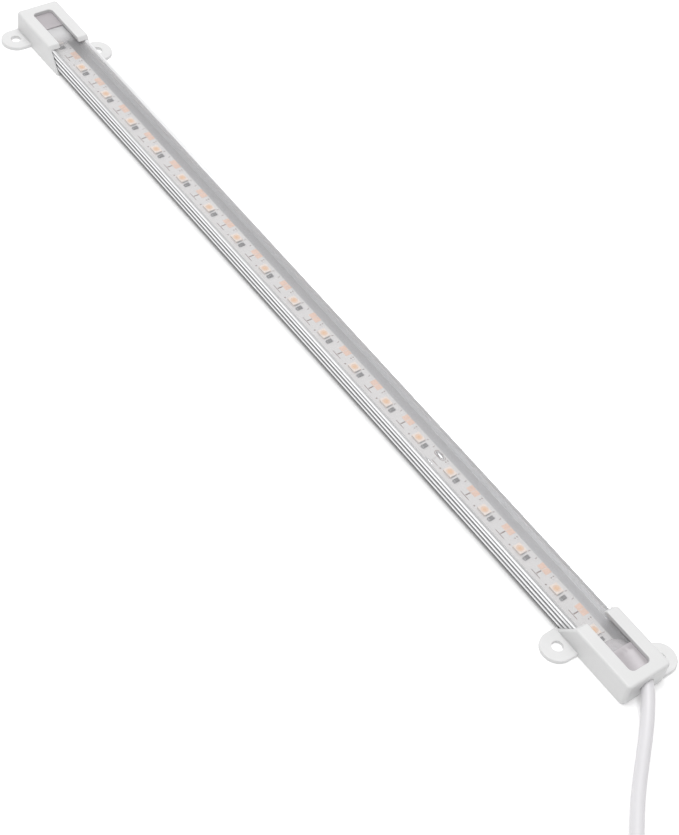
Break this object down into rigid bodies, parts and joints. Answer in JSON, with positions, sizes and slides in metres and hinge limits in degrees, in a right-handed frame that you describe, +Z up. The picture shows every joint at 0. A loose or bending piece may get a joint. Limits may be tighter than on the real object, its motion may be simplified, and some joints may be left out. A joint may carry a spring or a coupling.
{
  "type": "aquarium light bar",
  "caption": "Slim submersible-style light bar: fluted aluminium channel with a clear cover over a white light board, a white end cap with two ears at each end, and a USB cable.",
  "frame": {"origin": "middle of the bar's footprint, on the plane that the two end caps stand on", "axes": "+X along the bar towards the cable, +Y across it, +Z up through the clear cover"},
  "size_m": [0.4486, 0.0773, 0.0119],
  "materials": {
    "channel": "satin anodised extrusion",
    "cover": "clear polycarbonate strip",
    "cap_plastic": "fine satin moulded white",
    "phosphor": "amber phosphor gel",
    "board": "white solder resist",
    "tape": "foam adhesive tape",
    "led_package": "white moulded package",
    "chip_resistor": "black glaze with tinned ends",
    "copper": "bare copper pads",
    "solder": "bright tin solder",
    "sealant": "milky clear silicone",
    "wire_grey": "pale grey wire sleeve",
    "wire_white": "white wire sleeve",
    "cable": "white soft cable jacket",
    "tie": "white strap",
    "plug_moulding": "white moulded plastic",
    "plug_shell": "nickel-plated folded steel",
    "plug_tongue": "white insulator",
    "plug_contacts": "gold-plated contacts"
  },
  "bodies": {
    "root": {"adhesive_tape": "tape", "aluminium_channel": "channel", "cable_coil": "cable", "cable_lead": "cable", "cable_tail": "cable", "cable_tie": "tie", "clear_cover": "cover", "copper_pads": "copper", "end_cap_cable": "cap_plastic", "end_cap_plain": "cap_plastic", "led_01": "led_package", "led_02": "led_package", "led_03": "led_package", "led_04": "led_package", "led_05": "led_package", "led_06": "led_package", "led_07": "led_package", "led_08": "led_package", "led_09": "led_package", "led_10": "led_package", "led_11": "led_package", "led_12": "led_package", "led_13": "led_package", "led_14": "led_package", "led_15": "led_package", "led_16": "led_package", "led_17": "led_package", "led_18": "led_package", "led_19": "led_package", "led_phosphors": "phosphor", "light_board_long": "board", "light_board_short": "board", "resistor_01": "chip_resistor", "resistor_02": "chip_resistor", "resistor_03": "chip_resistor", "resistor_04": "chip_resistor", "resistor_05": "chip_resistor", "resistor_06": "chip_resistor", "resistor_07": "chip_resistor", "resistor_08": "chip_resistor", "resistor_09": "chip_resistor", "resistor_10": "chip_resistor", "resistor_11": "chip_resistor", "resistor_12": "chip_resistor", "resistor_13": "chip_resistor", "resistor_14": "chip_resistor", "resistor_15": "chip_resistor", "resistor_16": "chip_resistor", "resistor_17": "chip_resistor", "resistor_18": "chip_resistor", "resistor_19": "chip_resistor", "seal_cable_end": "sealant", "seal_plain_end": "sealant", "solder_joints": "solder", "usb_plug_body": "plug_moulding", "usb_plug_contacts": "plug_contacts", "usb_plug_shell": "plug_shell", "usb_plug_tongue": "plug_tongue", "wire_negative": "wire_grey", "wire_positive": "wire_white"}
  },
  "joints": []
}
